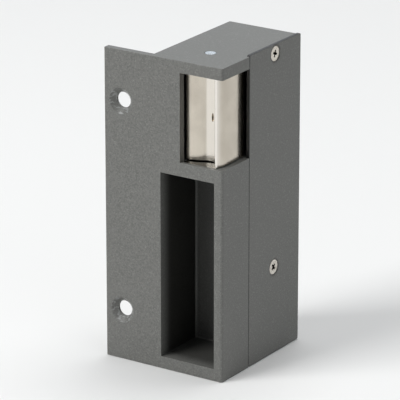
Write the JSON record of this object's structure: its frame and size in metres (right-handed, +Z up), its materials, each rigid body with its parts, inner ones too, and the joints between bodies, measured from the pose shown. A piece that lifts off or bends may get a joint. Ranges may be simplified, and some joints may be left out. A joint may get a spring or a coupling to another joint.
{
  "type": "electric door strike",
  "caption": "Surface-mounted electric strike for a rim lock: painted box with a flange, a pivoting plated keeper, a dead bolt pocket, and a solenoid-released lock lever.",
  "frame": {"origin": "middle of the underside of the whole strike's box", "axes": "+Z up along the strike's height; -Y is the face towards the lock, whose bolts move along +Y; the keeper lets the latch out towards +X, the side of the flat cover"},
  "size_m": [0.046, 0.0474, 0.1084],
  "materials": {
    "painted_casting": "fine textured grey paint",
    "black_rubber": "matte black rubber",
    "painted_cover": "fine textured grey paint",
    "screw_steel": "bright zinc plated steel",
    "polished_steel": "polished steel",
    "keeper_nickel": "satin nickel plate, slightly warm",
    "pin_steel": "ground steel",
    "spring_steel": "drawn spring steel",
    "lever_steel": "yellow-grey zinc plated steel",
    "black_steel": "black oxide steel",
    "zinc_plate": "blue-white zinc plate",
    "bobbin_plastic": "natural moulded nylon",
    "copper_wire": "enamelled copper wire, varnished",
    "coil_tape": "yellow polyester tape",
    "tinned_pins": "tinned",
    "terminal_plastic": "black moulded polyamide",
    "terminal_brass": "plain brass"
  },
  "bodies": {
    "case": {"housing": "painted_casting", "cable_grommet": "black_rubber", "side_cover": "painted_cover", "cover_screws": "screw_steel", "sill_plate": "polished_steel", "keeper_spring": "spring_steel", "lever_pin": "pin_steel", "lever_clip": "black_steel", "lever_spring": "spring_steel", "armature_pin": "pin_steel", "armature_spring": "spring_steel", "yoke": "zinc_plate", "core": "zinc_plate", "core_screw": "screw_steel", "bobbin": "bobbin_plastic", "winding": "copper_wire", "winding_wrap": "coil_tape", "coil_pins": "tinned_pins", "terminal_block": "terminal_plastic", "terminal_clamps": "terminal_brass", "terminal_screws": "screw_steel"},
    "keeper_unit": {"keeper": "keeper_nickel", "keeper_pin": "pin_steel"},
    "lever": {"lock_lever": "lever_steel"},
    "armature_plate": {"armature": "zinc_plate"}
  },
  "joints": [
    {"name": "keeper_swing", "type": "hinge", "parent": "case", "child": "keeper_unit", "pos_m": [0.0098, -0.01055, 0.08875], "axis": [0, 0, 1], "range_deg": [0, 35], "stiffness_Nm_per_rad": 0.02, "springref_deg": -28.65, "deforming": ["keeper_spring"]},
    {"name": "lever_swing", "type": "hinge", "parent": "case", "child": "lever", "pos_m": [0.0012, 0.002, 0.0768], "axis": [0, 1, 0], "range_deg": [-14.7, 0], "stiffness_Nm_per_rad": 0.004, "springref_deg": 17.19, "deforming": ["lever_spring"]},
    {"name": "armature_tilt", "type": "hinge", "parent": "case", "child": "armature_plate", "pos_m": [0.0192, 0.0081, 0.0643], "axis": [0, 1, 0], "range_deg": [-6.5, 0], "stiffness_Nm_per_rad": 0.004, "springref_deg": 17.19, "deforming": ["armature_spring"]}
  ],
  "couplings": [
    {"joint": "lever_swing", "follows": "keeper_swing", "ratio": -0.42},
    {"joint": "armature_tilt", "follows": "keeper_swing", "ratio": -0.1857}
  ]
}
